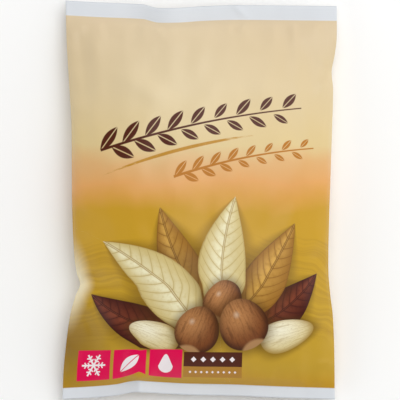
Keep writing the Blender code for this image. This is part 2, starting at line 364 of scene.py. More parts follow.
def half_columns(near_fin, beyond):
    """Where the web's columns lie on one side, as shares of the half width: near the fin, and beyond it."""
    shares = [place / HALF_WIDTH for place in near_fin]
    last = shares[-1]
    places = [(i + 1) / beyond for i in range(beyond)]
    return shares + [last + (1 - last) * (0.6 * t + 0.4 * math.sin(math.pi / 2 * t)) for t in places]


def web_row(along):
    """The points of one row and their places across the flat web, from one edge of the fin to the other."""
    fin_shares = [i / FIN_COLUMNS for i in range(FIN_COLUMNS + 1)]
    over_fin = [share * FIN_WIDTH for share in fin_shares] + [
        FIN_WIDTH + 2 * FIN_CLEARANCE, FIN_WIDTH + FIN_CLEARANCE + FIN_STEP_WIDTH,
    ]
    left = [-share for share in half_columns([0.0, FIN_STEP_WIDTH / 2, FIN_STEP_WIDTH], LEFT_COLUMNS)]
    right = half_columns(over_fin, RIGHT_COLUMNS)
    front_shares = left[:0:-1] + right
    front = [(*plan(across, along), front_height(across, along)) for across in front_shares]
    back_left = [back_point(across, along) for across in left]
    back_right = [back_point(across, along) for across in reversed(right)]
    x, y, z = back_left[0]
    back_right[-1] = (x, y, z + 2 * LAYER)
    lower_fin = [fin_point(0, share, along) for share in fin_shares[:0:-1]]
    upper_fin = [fin_point(1, share, along) for share in fin_shares]
    fold = [None] * (FOLD_COLUMNS - 1)
    points = (
        lower_fin + back_left + fold_points(back_left[-1], front[0], -1) + front
        + fold_points(front[-1], back_right[0], 1) + back_right
        + fold_points(back_right[-1], upper_fin[0], -1) + upper_fin
    )
    flat = (
        [-2 * HALF_WIDTH - share * FIN_WIDTH for share in fin_shares[:0:-1]]
        + [-2 * HALF_WIDTH - share * HALF_WIDTH for share in left] + fold
        + [share * HALF_WIDTH for share in front_shares] + fold
        + [(2 - share) * HALF_WIDTH for share in reversed(right)] + fold
        + [2 * HALF_WIDTH + share * FIN_WIDTH for share in fin_shares]
    )
    for i, place in enumerate(flat):
        if place is None:
            flat[i] = flat[i - 1]
    return points, flat


def row_places():
    """Where the web's rows lie along the bag, closer together towards the seals."""
    body = []
    for i in range(BODY_ROWS + 1):
        even = 2 * i / BODY_ROWS - 1
        body.append(0.75 * even + 0.25 * math.sin(math.pi / 2 * even))
    seal = [1 + (i + 1) / SEAL_ROWS for i in range(SEAL_ROWS)]
    return [-place for place in reversed(seal)] + body + seal


def make_film(finish):
    """The bag's film, with its flat coordinates kept in millimetres as a UV map."""
    places = row_places()
    rows = [web_row(place) for place in places]
    columns = len(rows[0][0])
    sheet = bmesh.new()
    flat_map = sheet.loops.layers.uv.new("film_flat")
    corners = [[sheet.verts.new(Vector(point) * MM) for point in points] for points, _ in rows]
    for r in range(len(rows) - 1):
        for c in range(columns - 1):
            ring = ((r, c), (r, c + 1), (r + 1, c + 1), (r + 1, c))
            face = sheet.faces.new([corners[i][j] for i, j in ring])
            face.smooth = True
            for loop, (i, j) in zip(face.loops, ring):
                u, v = rows[i][1][j], flat_length(places[i])
                loop[flat_map].uv = (u, v - print_pull(u, v))
    sheet.normal_update()
    mesh = bpy.data.meshes.new("printed_film_bag")
    sheet.to_mesh(mesh)
    sheet.free()
    mesh.materials.append(finish)
    film = bpy.data.objects.new("printed_film_bag", mesh)
    bpy.context.scene.collection.objects.link(film)
    thicken = film.modifiers.new("film_thickness", "SOLIDIFY")
    thicken.thickness = FILM * MM
    thicken.offset = 0.0
    return film


def colour(hex_value):
    """A linear colour with alpha from an sRGB hex value."""
    parts = [int(hex_value[i:i + 2], 16) / 255 for i in (1, 3, 5)]
    return (*[p / 12.92 if p <= 0.04045 else ((p + 0.055) / 1.055) ** 2.4 for p in parts], 1.0)


def add(tree, kind, inputs=None, out=0, **settings):
    """Adds one node with its settings, links or sets its inputs, and returns one of its outputs."""
    made = tree.nodes.new("ShaderNode" + kind)
    for name, value in settings.items():
        setattr(made, name, value)
    for socket, value in (inputs or {}).items():
        if isinstance(value, bpy.types.NodeSocket):
            tree.links.new(value, made.inputs[socket])
        else:
            made.inputs[socket].default_value = value
    return made.outputs[out] if made.outputs else made


def lay_ink(tree, under, ink, field, edge, soft, strength=1.0):
    """Lays a colour where the field is below the edge, and returns the colours with it on them. Mostly it
    prints inks; it also lays the washes of painted sheen and shade.
    """
    mask = add(tree, "MapRange", {0: field, 1: edge - soft, 2: edge + soft, 3: strength, 4: 0.0},
               interpolation_type="SMOOTHSTEP")
    return add(tree, "Mix", {0: mask, 6: under, 7: ink}, out=2, data_type="RGBA")


def motif_place(tree, flat, start, end, half_width=1.0, bow=0.0):
    """Coordinates on a bowed motif, and the square of the first.

    x runs from -1 at its start to 1 at its end. y is in half widths off its middle line, which bows to the
    left of the way that it points.
    """
    at = add(tree, "Mapping", {
        "Vector": flat,
        "Location": ((start[0] + end[0]) / 2, (start[1] + end[1]) / 2, 0),
        "Rotation": (0, 0, math.atan2(end[1] - start[1], end[0] - start[0])),
        "Scale": (math.dist(start, end) / 2, half_width, 1),
    }, vector_type="TEXTURE")
    x = add(tree, "SeparateXYZ", {0: at})
    square = add(tree, "Math", {0: x, 1: x}, operation="MULTIPLY")
    bow /= half_width
    rise = add(tree, "Math", {0: square, 1: -bow, 2: bow}, operation="MULTIPLY_ADD")
    y = add(tree, "Math", {0: x.node.outputs[1], 1: rise}, operation="SUBTRACT")
    return x, y, square


def box_field(tree, flat, centre, half):
    """Millimetres outside a rectangle, below 0 in it."""
    off = add(tree, "VectorMath", {0: flat, 1: (*centre, 0)}, operation="SUBTRACT")
    off = add(tree, "VectorMath", {0: off}, operation="ABSOLUTE")
    off = add(tree, "VectorMath", {0: off, 1: (*half, 0)}, operation="SUBTRACT")
    past_side = add(tree, "SeparateXYZ", {0: off})
    return add(tree, "Math", {0: past_side, 1: past_side.node.outputs[1]}, operation="MAXIMUM")


def print_leaf(tree, flat, under, base, tip, half_width, bow, inks):
    """A veined leaf from its base to its tip, with one half lit and a soft shadow under it."""
    light, deep, vein_ink = inks
    x, y, square = motif_place(tree, flat, base, tip, half_width, bow)
    off = add(tree, "Math", {0: y}, operation="ABSOLUTE")
    taper = add(tree, "Math", {0: 1.0, 1: square}, operation="SUBTRACT")
    taper = add(tree, "Math", {0: taper, 1: 0.0005}, operation="MAXIMUM")
    belly = add(tree, "Math", {0: x, 1: -0.3, 2: 1.0}, operation="MULTIPLY_ADD")
    belly = add(tree, "Math", {0: belly, 1: 0.5}, operation="MAXIMUM")
    outline = add(tree, "Math", {0: taper, 1: belly}, operation="MULTIPLY")
    share = add(tree, "Math", {0: off, 1: outline}, operation="DIVIDE")
    sweep = add(tree, "Math", {0: off, 1: -1.5, 2: -1.1}, operation="MULTIPLY_ADD")
    sweep = add(tree, "Math", {0: sweep, 1: off}, operation="MULTIPLY")
    veins = add(tree, "Math", {0: x, 1: 5.5, 2: sweep}, operation="MULTIPLY_ADD")
    veins = add(tree, "Math", {0: veins, 1: 0.5}, operation="PINGPONG")
    mottle = add(tree, "TexNoise", {"Vector": flat, "Scale": 0.22, "Detail": 4.0, "Roughness": 0.6})
    blade = lay_ink(tree, vein_ink, deep, share, 0.95, 0.06)
    blade = lay_ink(tree, blade, light, share, 0.52, 0.5, 0.9)
    blade = lay_ink(tree, blade, deep, veins, 0.12, 0.22, 0.55)
    blade = lay_ink(tree, blade, deep, y, 0.0, 0.1, 0.42)
    blade = lay_ink(tree, blade, deep, mottle, 0.42, 0.14, 0.45)
    blade = lay_ink(tree, blade, vein_ink, veins, 0.035, 0.035, 0.6)
    blade = lay_ink(tree, blade, vein_ink, off, 0.045, 0.03)
    blade = lay_ink(tree, blade, light, off, 0.012, 0.016, 0.8)
    under = lay_ink(tree, under, PRINTED_SHADE, share, 1.3, 0.55, 0.5)
    return lay_ink(tree, under, blade, share, 1.0, 0.02)


def print_kernel(tree, flat, under, centre, radii, turn, pinch, inks):
    """A round nut with its pale scar, or a smooth pointed kernel, lit from its upper left."""
    light, deep, rim_ink, scar_ink = inks
    at = add(tree, "Mapping", {
        "Vector": flat, "Location": (*centre, 0), "Rotation": (0, 0, turn), "Scale": (*radii, 1),
    }, vector_type="TEXTURE")
    x = add(tree, "SeparateXYZ", {0: at})
    widen = add(tree, "Math", {0: x, 1: pinch, 2: 1.0}, operation="MULTIPLY_ADD")
    y = add(tree, "Math", {0: x.node.outputs[1], 1: widen}, operation="MULTIPLY")
    at = add(tree, "CombineXYZ", {0: x, 1: y})
    reach = add(tree, "VectorMath", {0: at}, out=1, operation="LENGTH")
    angle = LIGHT_SIDE - turn
    glint = (GLINT_REACH * math.cos(angle), GLINT_REACH * math.sin(angle), 0)
    off_light = add(tree, "VectorMath", {0: at, 1: glint}, out=1, operation="DISTANCE")
    furrows = add(tree, "VectorMath", {0: at, 1: (1.3, 9.0, 1.0)}, operation="MULTIPLY")
    furrows = add(tree, "TexNoise", {"Vector": furrows, "Scale": 1.0, "Detail": 3.0, "Distortion": 0.3})
    speckle = add(tree, "TexNoise", {"Vector": at, "Scale": 11.0, "Detail": 3.0, "Roughness": 0.7})
    body = lay_ink(tree, rim_ink, deep, reach, 0.84, 0.2)
    body = lay_ink(tree, body, light, off_light, 0.62, 0.6, 0.95)
    body = lay_ink(tree, body, rim_ink, furrows, 0.42, 0.12, 0.4)
    body = lay_ink(tree, body, rim_ink, speckle, 0.38, 0.1, 0.4)
    if scar_ink:
        scar = add(tree, "VectorMath", {0: at, 1: (-1.36, 0.0, 0.0)}, out=1, operation="DISTANCE")
        body = lay_ink(tree, body, scar_ink, scar, 0.64, 0.07, 0.8)
    body = lay_ink(tree, body, PRINTED_GLINT, off_light, 0.05, 0.16, 0.4)
    under = lay_ink(tree, under, PRINTED_SHADE, reach, 1.16, 0.3, 0.62)
    return lay_ink(tree, under, body, reach, 1.0, 0.02)


def print_stroke(tree, flat, under, start, end, bow, half_width, ink):
    """A brush stroke that swells in its middle and runs dry at its ends."""
    x, y, square = motif_place(tree, flat, start, end, bow=bow)
    off = add(tree, "Math", {0: y}, operation="ABSOLUTE")
    swell = add(tree, "Math", {0: square, 1: half_width, 2: -half_width}, operation="MULTIPLY_ADD")
    field = add(tree, "Math", {0: off, 1: swell}, operation="ADD")
    bristles = add(tree, "CombineXYZ", {0: x, 1: y})
    bristles = add(tree, "VectorMath", {0: bristles, 1: (4.0, 1.0, 1.0)}, operation="MULTIPLY")
    bristles = add(tree, "TexNoise", {"Vector": bristles, "Scale": 2.2, "Detail": 3.0})
    dry = add(tree, "Math", {0: square, 1: 0.4, 2: bristles}, operation="MULTIPLY_ADD")
    dry = add(tree, "Math", {0: dry, 1: 5.0, 2: -3.6}, operation="MULTIPLY_ADD")
    field = add(tree, "Math", {0: field, 1: dry}, operation="MAXIMUM")
    return lay_ink(tree, under, ink, field, 0.0, 0.3)


def print_twig(tree, flat, under, start, end, bow, leaves, leaf_size, ink):
    """A brushed twig whose leaves leave it by turns on either side, smaller towards its tip."""
    x, y, square = motif_place(tree, flat, start, end, bow=bow)
    length = math.dist(start, end)
    off = add(tree, "Math", {0: y}, operation="ABSOLUTE")
    stem_width = add(tree, "Math", {0: x, 1: -0.35, 2: 0.85}, operation="MULTIPLY_ADD")
    stem = add(tree, "Math", {0: off, 1: stem_width}, operation="SUBTRACT")
    past_end = add(tree, "Math", {0: square, 1: length / 4, 2: -0.98 * length / 4},
                   operation="MULTIPLY_ADD")
    stem = add(tree, "Math", {0: stem, 1: past_end}, operation="MAXIMUM")
    shown = lay_ink(tree, under, ink, stem, 0.0, 0.3)
    run = add(tree, "Math", {0: x, 1: leaves / 2, 2: leaves / 2}, operation="MULTIPLY_ADD")
    smaller = add(tree, "Math", {0: x, 1: -0.22, 2: 0.82}, operation="MULTIPLY_ADD")
    for side, shift, first in ((1, 0.0, 0), (-1, 0.5, 1)):
        shifted = add(tree, "Math", {0: run, 1: shift}, operation="ADD")
        number = add(tree, "Math", {0: shifted}, operation="FLOOR")
        last_middle = (leaves - 1 + first) / 2
        from_middle = add(tree, "Math", {0: number, 1: last_middle}, operation="SUBTRACT")
        from_middle = add(tree, "Math", {0: from_middle}, operation="ABSOLUTE")
        missing = add(tree, "Math", {0: from_middle, 1: last_middle - first + 0.4}, operation="SUBTRACT")
        chance = add(tree, "Math", {0: number, 1: 7 * side}, operation="ADD")
        chance = add(tree, "TexWhiteNoise", {"W": chance}, noise_dimensions="1D")
        size = add(tree, "Math", {0: chance, 1: 0.22, 2: smaller}, operation="MULTIPLY_ADD")
        cell = add(tree, "Math", {0: shifted}, operation="FRACT")
        cell = add(tree, "Math", {0: cell, 1: length / leaves}, operation="MULTIPLY")
        on_side = add(tree, "Math", {0: y, 1: side}, operation="MULTIPLY")
        at = add(tree, "CombineXYZ", {0: cell, 1: on_side})
        at = add(tree, "Mapping", {
            "Vector": at, "Location": (0.5 * length / leaves, 0.34 * leaf_size, 0),
            "Rotation": (0, 0, math.radians(38)), "Scale": (leaf_size / 2, leaf_size / 5, 1),
        }, vector_type="TEXTURE")
        size = add(tree, "CombineXYZ", {0: size, 1: size, 2: size})
        at = add(tree, "VectorMath", {0: at, 1: size}, operation="DIVIDE")
        leaf_x = add(tree, "SeparateXYZ", {0: at})
        leaf_off = add(tree, "Math", {0: leaf_x.node.outputs[1]}, operation="ABSOLUTE")
        past = add(tree, "Math", {0: leaf_x, 1: leaf_x, 2: leaf_off}, operation="MULTIPLY_ADD")
        rib_gap = add(tree, "Math", {0: 1.08, 1: leaf_off}, operation="SUBTRACT")
        past = add(tree, "Math", {0: past, 1: rib_gap}, operation="MAXIMUM")
        missing = add(tree, "Math", {0: missing, 1: 1.0}, operation="ADD")
        past = add(tree, "Math", {0: past, 1: missing}, operation="MAXIMUM")
        shown = lay_ink(tree, shown, ink, past, 1.0, 0.08)
    return shown


def print_grain(tree, flat, flat_y, under):
    """Soft streaks that curve round a place below the bag, as in a sawn board, and fade out both ways."""
    wander = add(tree, "TexNoise", {"Vector": flat, "Scale": 0.02, "Detail": 2.0}, out=1)
    at = add(tree, "VectorMath", {0: wander, 1: (34, 34, 0), 2: flat}, operation="MULTIPLY_ADD")
    at = add(tree, "Mapping", {
        "Vector": at, "Location": (*STREAK_CENTRE, 0), "Scale": (STREAK_STRETCH, 1, 1),
    }, vector_type="TEXTURE")
    reach = add(tree, "CombineXYZ", {0: add(tree, "VectorMath", {0: at}, out=1, operation="LENGTH")})
    streaks = add(tree, "TexNoise", {"Vector": reach, "Scale": 0.22, "Detail": 4.0, "Roughness": 0.65})
    off_board = add(tree, "Math", {0: flat_y, 1: -STREAK_ROW}, operation="ADD")
    off_board = add(tree, "Math", {0: off_board}, operation="ABSOLUTE")
    fading = add(tree, "MapRange", {0: off_board, 1: 30.0, 2: 66.0, 3: 0.0, 4: 0.3},
                 interpolation_type="SMOOTHSTEP")
    streaks = add(tree, "Math", {0: streaks, 1: fading}, operation="ADD")
    return lay_ink(tree, under, STREAK, streaks, 0.5, 0.12, 0.34)


def print_tiles(tree, flat, under):
    """Three plain tiles with a frost star, a leaf and a drop, and two bars with a row of marks each."""
    shown = under
    for centre in TILES:
        shown = lay_ink(tree, shown, MAGENTA, box_field(tree, flat, centre, TILE_HALF), 0.0, CRISP)
    star_tile, leaf_tile, drop_tile = TILES
    shown = print_frost_star(tree, flat, shown, star_tile)
    shown = print_tile_leaf(tree, flat, shown, leaf_tile)
    shown = print_drop(tree, flat, shown, drop_tile)
    for centre, half, ink, count, pitch, size in BARS:
        shown = lay_ink(tree, shown, ink, box_field(tree, flat, centre, half), 0.0, CRISP)
        shown = print_marks(tree, flat, shown, centre, count, pitch, size)
    return shown


def print_tile_leaf(tree, flat, under, centre):
    """A plain leaf that points up and right, with a gap along its rib."""
    low = tuple(place - TILE_LEAF_REACH for place in centre)
    high = tuple(place + TILE_LEAF_REACH for place in centre)
    _, off, square = motif_place(tree, flat, low, high, 5.5)
    off = add(tree, "Math", {0: off}, operation="ABSOLUTE")
    leaf = add(tree, "Math", {0: square, 1: off}, operation="ADD")
    rib_gap = add(tree, "Math", {0: 1.07, 1: off}, operation="SUBTRACT")
    leaf = add(tree, "Math", {0: leaf, 1: rib_gap}, operation="MAXIMUM")
    return lay_ink(tree, under, PAPER_WHITE, leaf, 1.0, 0.04)


def print_frost_star(tree, flat, under, centre):
    """A six-armed frost star with two barbs on either side of each arm."""
    at = add(tree, "VectorMath", {0: flat, 1: (*centre, 0)}, operation="SUBTRACT")
    x = add(tree, "SeparateXYZ", {0: at})
    reach = add(tree, "VectorMath", {0: at}, out=1, operation="LENGTH")
    angle = add(tree, "Math", {0: x.node.outputs[1], 1: x}, operation="ARCTAN2")
    folded = add(tree, "Math", {0: angle, 1: math.pi / 6}, operation="PINGPONG")
    along_arm = add(tree, "Math", {0: folded}, operation="COSINE")
    along_arm = add(tree, "Math", {0: along_arm, 1: reach}, operation="MULTIPLY")
    off_arm = add(tree, "Math", {0: folded}, operation="SINE")
    off_arm = add(tree, "Math", {0: off_arm, 1: reach}, operation="MULTIPLY")
    star = add(tree, "Math", {0: off_arm, 1: 0.75}, operation="SUBTRACT")
    for start, length in ((3.8, 2.6), (6.6, 2.8)):
        from_root = add(tree, "CombineXYZ", {0: along_arm, 1: off_arm})
        from_root = add(tree, "Mapping", {
            "Vector": from_root, "Location": (start, 0, 0), "Rotation": (0, 0, math.pi / 3),
        }, vector_type="TEXTURE")
        barb = add(tree, "VectorMath", {0: from_root, 1: (length / 2, 0, 0)}, operation="SUBTRACT")
        barb = add(tree, "VectorMath", {0: barb}, operation="ABSOLUTE")
        barb = add(tree, "VectorMath", {0: barb, 1: (length / 2, 0.55, 0)}, operation="SUBTRACT")
        past = add(tree, "SeparateXYZ", {0: barb})
        barb = add(tree, "Math", {0: past, 1: past.node.outputs[1]}, operation="MAXIMUM")
        star = add(tree, "Math", {0: star, 1: barb}, operation="MINIMUM")
    past_tip = add(tree, "Math", {0: reach, 1: 10.4}, operation="SUBTRACT")
    star = add(tree, "Math", {0: star, 1: past_tip}, operation="MAXIMUM")
    return lay_ink(tree, under, PAPER_WHITE, star, 0.0, 0.2)


def print_drop(tree, flat, under, centre):
    """A drop with its point up."""
    at = add(tree, "VectorMath", {0: flat, 1: (centre[0], centre[1] - 2.5, 0)}, operation="SUBTRACT")
    x = add(tree, "SeparateXYZ", {0: at})
    up = add(tree, "Math", {0: x.node.outputs[1], 1: 0.0}, operation="MAXIMUM")
    squeeze = add(tree, "Math", {0: up, 1: 0.075, 2: 1.0}, operation="MULTIPLY_ADD")
    wide = add(tree, "Math", {0: x, 1: squeeze}, operation="MULTIPLY")
    tall = add(tree, "Math", {0: up, 1: -0.42, 2: x.node.outputs[1]}, operation="MULTIPLY_ADD")
    reach = add(tree, "CombineXYZ", {0: wide, 1: tall})
    reach = add(tree, "VectorMath", {0: reach}, out=1, operation="LENGTH")
    return lay_ink(tree, under, PAPER_WHITE, reach, 6.4, CRISP)


def print_marks(tree, flat, under, centre, count, pitch, size):
    """A row of small diamonds."""
    at = add(tree, "VectorMath", {0: flat, 1: (*centre, 0)}, operation="SUBTRACT")
    x = add(tree, "SeparateXYZ", {0: at})
    cell = add(tree, "Math", {0: x, 1: 1 / pitch, 2: count / 2}, operation="MULTIPLY_ADD")
    cell = add(tree, "Math", {0: cell}, operation="FRACT")
    off = add(tree, "Math", {0: cell, 1: pitch, 2: -pitch / 2}, operation="MULTIPLY_ADD")
    off = add(tree, "Math", {0: off}, operation="ABSOLUTE")
    up = add(tree, "Math", {0: x.node.outputs[1]}, operation="ABSOLUTE")
    diamond = add(tree, "Math", {0: off, 1: up}, operation="ADD")
    past_row = add(tree, "Math", {0: x}, operation="ABSOLUTE")
    past_row = add(tree, "Math", {0: past_row, 1: count * pitch / 2 - size}, operation="SUBTRACT")
    diamond = add(tree, "Math", {0: diamond, 1: past_row}, operation="MAXIMUM")
    return lay_ink(tree, under, PAPER_WHITE, diamond, size, CRISP)


def print_back(tree, flat, flat_y, under):
    """Pale panels on either side of the fin, one ruled like a table, and a sensor mark on the fin."""
    shown = under
    for centre, half in BACK_PANELS:
        field = box_field(tree, flat, centre, half)
        shown = lay_ink(tree, shown, PANEL_CREAM, field, 0.0, CRISP)
        frame_line = add(tree, "Math", {0: field, 1: 2.2}, operation="ADD")
        frame_line = add(tree, "Math", {0: frame_line}, operation="ABSOLUTE")
        shown = lay_ink(tree, shown, BARK, frame_line, 0.3, 0.2, 0.8)
    (centre_x, centre_y), (half_x, half_y) = BACK_PANELS[0]
    rule = add(tree, "Math", {0: flat_y, 1: centre_y}, operation="SUBTRACT")
    rule = add(tree, "Math", {0: rule, 1: 5.0}, operation="PINGPONG")
    ruled = box_field(tree, flat, (centre_x, centre_y), (half_x - PANEL_MARGIN, half_y - PANEL_MARGIN))
    rule = add(tree, "Math", {0: rule, 1: ruled}, operation="MAXIMUM")
    shown = lay_ink(tree, shown, BARK, rule, 0.25, 0.2, 0.7)
    mark = box_field(tree, flat, (-2 * HALF_WIDTH - FIN_WIDTH / 2, MARK_ROW), MARK_HALF)
    return lay_ink(tree, shown, BARK, mark, 0.0, CRISP)


PRINTED_SHADE = colour("#50320f")
PRINTED_GLINT = colour("#fff6e2")
PAPER_WHITE = colour("#f6edee")
PANEL_CREAM = colour("#efe6cf")
SEAL_WHITE = colour("#d8dce1")
STREAK = colour("#946b1f")
OCHRE = colour("#b27f2d")
STROKE_OCHRE = colour("#bb872a")
MAGENTA = colour("#e2004f")
BARK = colour("#501f0b")
CARAMEL = colour("#b47004")
CREAM_LEAF = (colour("#f4efcc"), colour("#cdb878"), colour("#a98a45"))
GOLD_LEAF = (colour("#d9a951"), colour("#9a6a24"), colour("#6f4513"))
MAROON_LEAF = (colour("#87432b"), colour("#46180f"), colour("#2d0d08"))
NUT = (colour("#bd8450"), colour("#7a4420"), colour("#41200c"), colour("#b98d5e"))
BLANCHED_KERNEL = (colour("#f8f2d6"), colour("#dccb96"), colour("#ab8c47"), None)
LIGHT_SIDE = math.radians(128)  # where the picture's light comes from
GLINT_REACH = 0.45  # how far a kernel's glint lies off its middle, as a share of its radius
CRISP = 0.25  # how soft a printed edge is
LEAVES = [  # (base, tip, half width, bow, inks)
    ((0, -123), (-106, -82), 17, 7, MAROON_LEAF), ((32, -116), (109, -64), 17, -7, MAROON_LEAF),
    ((23, -108), (88, -20), 19, -6, GOLD_LEAF), ((11, -110), (-38, -6), 20, 6, GOLD_LEAF),
    ((4, -119), (-92, -36), 23, -8, CREAM_LEAF), ((17, -107), (32, 3), 22, 5, CREAM_LEAF),
]
KERNELS = [  # (centre, radii, turn, pinch, inks)
    ((-42, -118), (24, 12), 2.8, 0.3, BLANCHED_KERNEL), ((78, -117), (25, 13), 0.3, 0.3, BLANCHED_KERNEL),
    ((19, -88), (19, 18), 1.2, 0.1, NUT), ((-3, -113), (21, 20), 1.25, 0.1, NUT),
    ((38, -108), (23, 22), 2.05, 0.1, NUT),
]
TILES = [(-94.0, -143.8), (-62.0, -143.8), (-30.0, -143.8)]
TILE_HALF = (14.6, 13.1)
TILE_LEAF_REACH = 8
BARS = [  # (centre, half size, ink, number of marks, their pitch, their half size)
    ((12.0, -139.4), (26.0, 6.6), BARK, 5, 8.6, 2.5),
    ((12.0, -150.9), (26.0, 4.9), OCHRE, 9, 5.0, 1.2),
]
TWIGS = [  # (start, end, bow, number of leaves on its left, leaf length, ink)
    ((-94, 43), (92, 80), 5, 9, 22, BARK), ((-26, 20), (104, 45), 4, 8, 15, CARAMEL),
]
STROKE = ((-95, 20), (55, 57), 5, 1.5, STROKE_OCHRE)  # start, end, bow, half width, ink
# Soft washes over the ground, of print and of painted light and shade: centre, radii, colour, edge,
# softness, strength.
# Partly a paler patch of the print and partly painted sheen: a pale wash over the upper middle, where the
# film's gloss lies.
PALE_PRINT_AND_SHEEN = ((-24.0, 92.0), (46.0, 46.0), colour("#f3e7c9"), 1.0, 56.0 / 46.0, 0.22)
# Painted shade: a dark wash in the bag's lower left corner, where the film curves down to the side and the
# bottom seal.
PAINTED_CORNER_SHADE = ((-118.0, -128.0), (26.0, 26.0), colour("#7d580b"), 1.0, 36.0 / 26.0, 0.85)
# Painted sheen: a pale wash where the left side catches the light at its dent.
PAINTED_DENT_SHEEN = ((-122.0, -74.0), (16.0, 42.0), colour("#f6eac6"), 0.65, 0.5, 0.88)
STREAK_CENTRE = (-52.0, -214.0)  # what the board's streaks curve round
STREAK_STRETCH = 1.9
STREAK_ROW = -80.0  # where they are strongest
BACK_PANELS = [  # (centre, half size)
    ((-178.0, 4.0), (46.0, 66.0)), ((178.0, 30.0), (46.0, 40.0)), ((178.0, -54.0), (46.0, 26.0)),
]
PANEL_MARGIN = 7.0
MARK_ROW = -138.0
MARK_HALF = (3.5, 6.0)
GROUND = [  # (millimetres from the bag's middle, ink)
    (-166, "#c29226"), (-146, "#c19b33"), (-88, "#c59d25"), (-10, "#c69827"), (4, "#d69d49"),
    (15, "#dfa35f"), (32, "#dcae74"), (48, "#dbc38d"), (97, "#dac59c"), (126, "#d8c39d"),
    (158, "#d9c4a2"),
]


def paint_light_wash(tree, flat, under, centre, radii, ink, edge, soft, strength):
    """A soft oval wash of colour over the print: here painted sheen, painted shade, and a paler patch of
    print with painted sheen. Its edge and its softness are shares of its radii.
    """
    at = add(tree, "Mapping", {
        "Vector": flat, "Location": (*centre, 0), "Scale": (*radii, 1),
    }, vector_type="TEXTURE")
    reach = add(tree, "VectorMath", {0: at}, out=1, operation="LENGTH")
    return lay_ink(tree, under, ink, reach, edge, soft, strength)


def film_print(tree, flat, flat_y):
    """The whole web's print: the ground with its washes of painted sheen and shade, leaves, nuts, twigs, a
    brush stroke, tiles, and the back.
    """
    low, high = GROUND[0][0], GROUND[-1][0]
    cloud = add(tree, "TexNoise", {"Vector": flat, "Scale": 0.02, "Detail": 3.0})
    drift = add(tree, "Math", {0: cloud, 1: 24.0, 2: flat_y}, operation="MULTIPLY_ADD")
    share = add(tree, "MapRange", {0: drift, 1: low + 12, 2: high + 12})
    ground = add(tree, "ValToRGB", {0: share})
    ramp = ground.node.color_ramp
    while len(ramp.elements) < len(GROUND):
        ramp.elements.new(1.0)
    for element, (place, hex_value) in zip(ramp.elements, GROUND):
        element.position = (place - low) / (high - low)
        element.color = colour(hex_value)
    # Paler print with painted sheen over the upper middle.
    shown = paint_light_wash(tree, flat, ground, *PALE_PRINT_AND_SHEEN)
    shown = print_grain(tree, flat, flat_y, shown)
    # Painted shade in the lower left corner.
    shown = paint_light_wash(tree, flat, shown, *PAINTED_CORNER_SHADE)
    # Painted sheen on the left side at its dent.
    shown = paint_light_wash(tree, flat, shown, *PAINTED_DENT_SHEEN)
    for base, tip, half_width, bow, inks in LEAVES:
        shown = print_leaf(tree, flat, shown, base, tip, half_width, bow, inks)
    for centre, radii, turn, pinch, inks in KERNELS:
        shown = print_kernel(tree, flat, shown, centre, radii, turn, pinch, inks)
    for start, end, bow, leaves, leaf_size, ink in TWIGS:
        shown = print_twig(tree, flat, shown, start, end, bow, leaves, leaf_size, ink)
    shown = print_stroke(tree, flat, shown, *STROKE)
    shown = print_tiles(tree, flat, shown)
    return print_back(tree, flat, flat_y, shown)


# The laminate's face.
SMOOTHEST = 0.29
ROUGHEST = 0.36
FILM_IOR = 1.49
FILM_SHEEN = 0.28
CRINKLE_DEPTH = 0.4
RIB_DEPTH = 0.2


def film_laminate():
    """Reverse-printed polypropylene laminated to polyethylene, with a satin face.

    The ink lies under a clear skin, so the eye sees even colour with a soft sheen on it. Fine crinkles show
    where the film has been handled, and the silvery white end seals have the jaws' ribs pressed into them.
    Real crinkles are about 1 mm apart. They are drawn about 4.5 mm apart, because a pixel of the picture is
    0.9 mm wide.
    """
    made = bpy.data.materials.new("satin_printed_laminate")
    made.use_nodes = True
    tree = made.node_tree
    shader = tree.nodes["Principled BSDF"]
    flat = add(tree, "UVMap", uv_map="film_flat")
    flat_y = add(tree, "SeparateXYZ", {0: flat}, out=1)
    shown = film_print(tree, flat, flat_y)
    off_middle = add(tree, "Math", {0: flat_y, 1: (MEAN_TOP + MEAN_BOTTOM) / 2}, operation="SUBTRACT")
    off_middle = add(tree, "Math", {0: off_middle}, operation="ABSOLUTE")
    half_print = (MEAN_TOP - MEAN_BOTTOM) / 2
    shown = lay_ink(tree, SEAL_WHITE, shown, off_middle, half_print, 0.3)
    tree.links.new(shown, shader.inputs["Base Color"])
    place = add(tree, "TexCoord", out=3)
    scuffs = add(tree, "TexNoise", {"Vector": place, "Scale": 24.0, "Detail": 5.0, "Roughness": 0.6})
    satin = add(tree, "MapRange", {0: scuffs, 1: 0.3, 2: 0.7, 3: SMOOTHEST, 4: ROUGHEST})
    tree.links.new(satin, shader.inputs["Roughness"])
    shader.inputs["IOR"].default_value = FILM_IOR
    shader.inputs["Specular IOR Level"].default_value = FILM_SHEEN
    crinkle = add(tree, "TexNoise", {"Vector": place, "Scale": 220.0, "Detail": 4.0, "Roughness": 0.55})
    crinkled = add(tree, "Bump", {"Height": crinkle, "Strength": 0.16, "Distance": CRINKLE_DEPTH * MM})
    rib = add(tree, "Math", {0: flat_y, 1: RIB_PITCH / 2}, operation="PINGPONG")
    on_seal = add(tree, "MapRange", {0: off_middle, 1: half_print + 0.5, 2: half_print + 1.5})
    rib = add(tree, "Math", {0: rib, 1: on_seal}, operation="MULTIPLY")
    ribbed = add(tree, "Bump", {
        "Height": rib, "Strength": 0.16, "Distance": RIB_DEPTH * MM, "Normal": crinkled,
    })
    tree.links.new(ribbed, shader.inputs["Normal"])
    return made


def table_top():
    """White painted board. It is even and matt, so only the bag's soft shadow shows on it."""
    made = bpy.data.materials.new("white_painted_board")
    made.use_nodes = True
    tree = made.node_tree
    shader = tree.nodes["Principled BSDF"]
    shader.inputs["Base Color"].default_value = colour("#fefefd")
    shader.inputs["Roughness"].default_value = 0.9
    return made


FLESH = colour("#e9dcb9")
PALE_FLESH = colour("#f6efdb")
FROST = colour("#f7f8f8")


